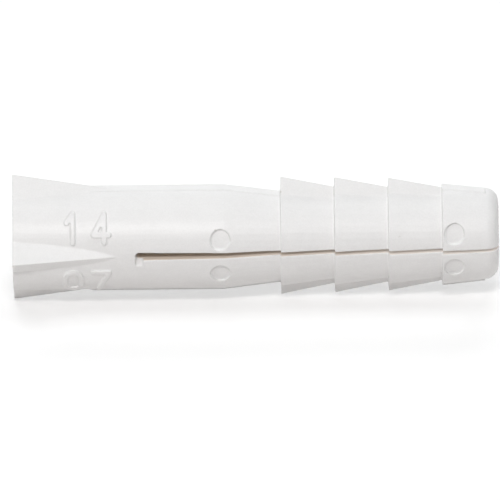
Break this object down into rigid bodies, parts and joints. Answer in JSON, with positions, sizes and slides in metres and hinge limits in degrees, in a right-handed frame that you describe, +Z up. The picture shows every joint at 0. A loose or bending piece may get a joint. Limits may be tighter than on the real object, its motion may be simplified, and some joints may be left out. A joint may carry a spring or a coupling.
{
  "type": "wall anchor",
  "caption": "Slotted nylon expansion plug with a finned head, ridged barbs and two legs that spread as a screw is driven in.",
  "frame": {"origin": "middle of the head face, at the mouth of the screw bore", "axes": "+X along the plug from the head face to the nose, +Z up in the mould's parting plane; the slot between the legs lies in the XY plane"},
  "size_m": [0.0379, 0.011, 0.0106],
  "materials": {
    "nylon": "natural white nylon with a fine satin moulded surface"
  },
  "bodies": {
    "sleeve": {"sleeve": "nylon", "top_fin": "nylon", "front_fin": "nylon", "bottom_fin": "nylon", "rear_fin": "nylon"},
    "upper_leg": {"upper_leg": "nylon", "upper_barb_1": "nylon", "upper_barb_2": "nylon", "upper_barb_3": "nylon", "upper_nose": "nylon"},
    "lower_leg": {"lower_leg": "nylon", "lower_barb_1": "nylon", "lower_barb_2": "nylon", "lower_barb_3": "nylon", "lower_nose": "nylon"}
  },
  "joints": [
    {"name": "upper_leg_spread", "type": "hinge", "parent": "sleeve", "child": "upper_leg", "pos_m": [0.00985, 0, 0.00405], "axis": [0, -1, 0], "range_deg": [0, 6], "stiffness_Nm_per_rad": 0.2},
    {"name": "lower_leg_spread", "type": "hinge", "parent": "sleeve", "child": "lower_leg", "pos_m": [0.00985, 0, -0.00405], "axis": [0, 1, 0], "range_deg": [0, 6], "stiffness_Nm_per_rad": 0.2}
  ],
  "couplings": [
    {"joint": "lower_leg_spread", "follows": "upper_leg_spread", "ratio": 1}
  ]
}
